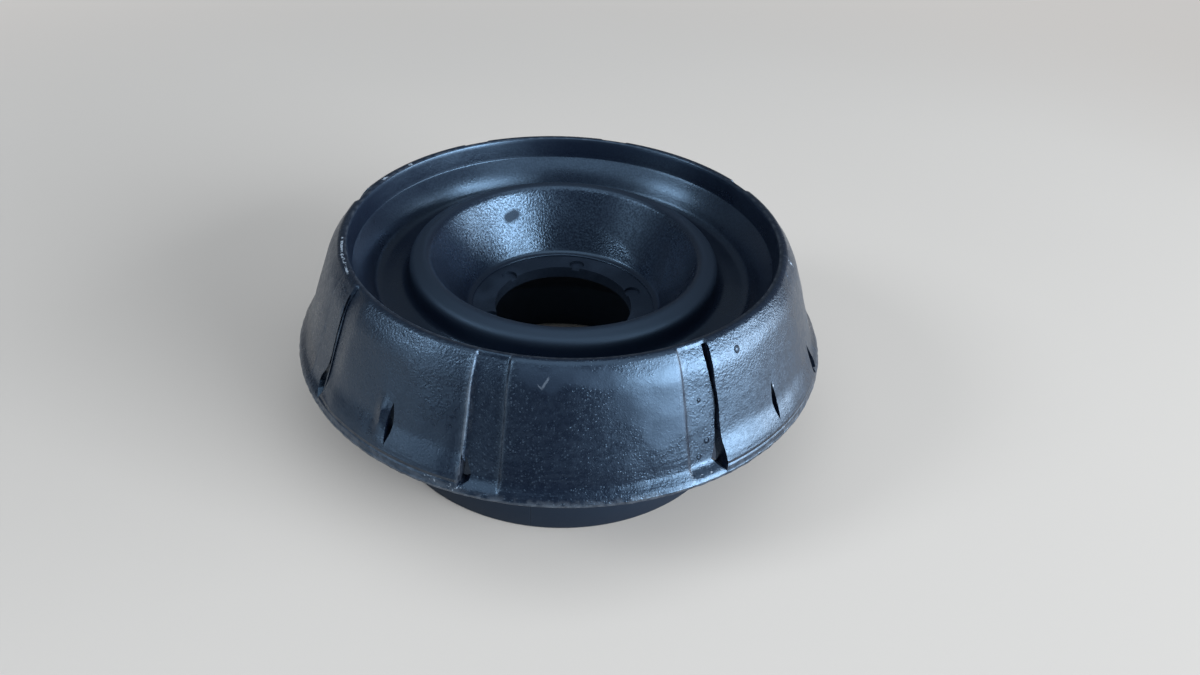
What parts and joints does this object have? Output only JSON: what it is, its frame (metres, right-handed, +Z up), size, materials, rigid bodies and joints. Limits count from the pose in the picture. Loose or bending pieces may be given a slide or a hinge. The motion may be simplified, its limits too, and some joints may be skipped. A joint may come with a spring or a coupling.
{
  "type": "strut mount",
  "caption": "Round rubber strut mount with a slit conical skirt, an annular trough, a central bowl over a bored steel insert, and a narrower cylindrical base.",
  "frame": {"origin": "centre of the base's lower face", "axes": "+Z up along the axis, towards the bowl; a panel of the skirt faces -Y"},
  "size_m": [0.1292, 0.1292, 0.0544],
  "materials": {
    "rubber": "satin, fine mould grain",
    "insert": "smooth black coating"
  },
  "bodies": {
    "root": {"rubber_body": "rubber", "inner_insert": "insert"}
  },
  "joints": []
}
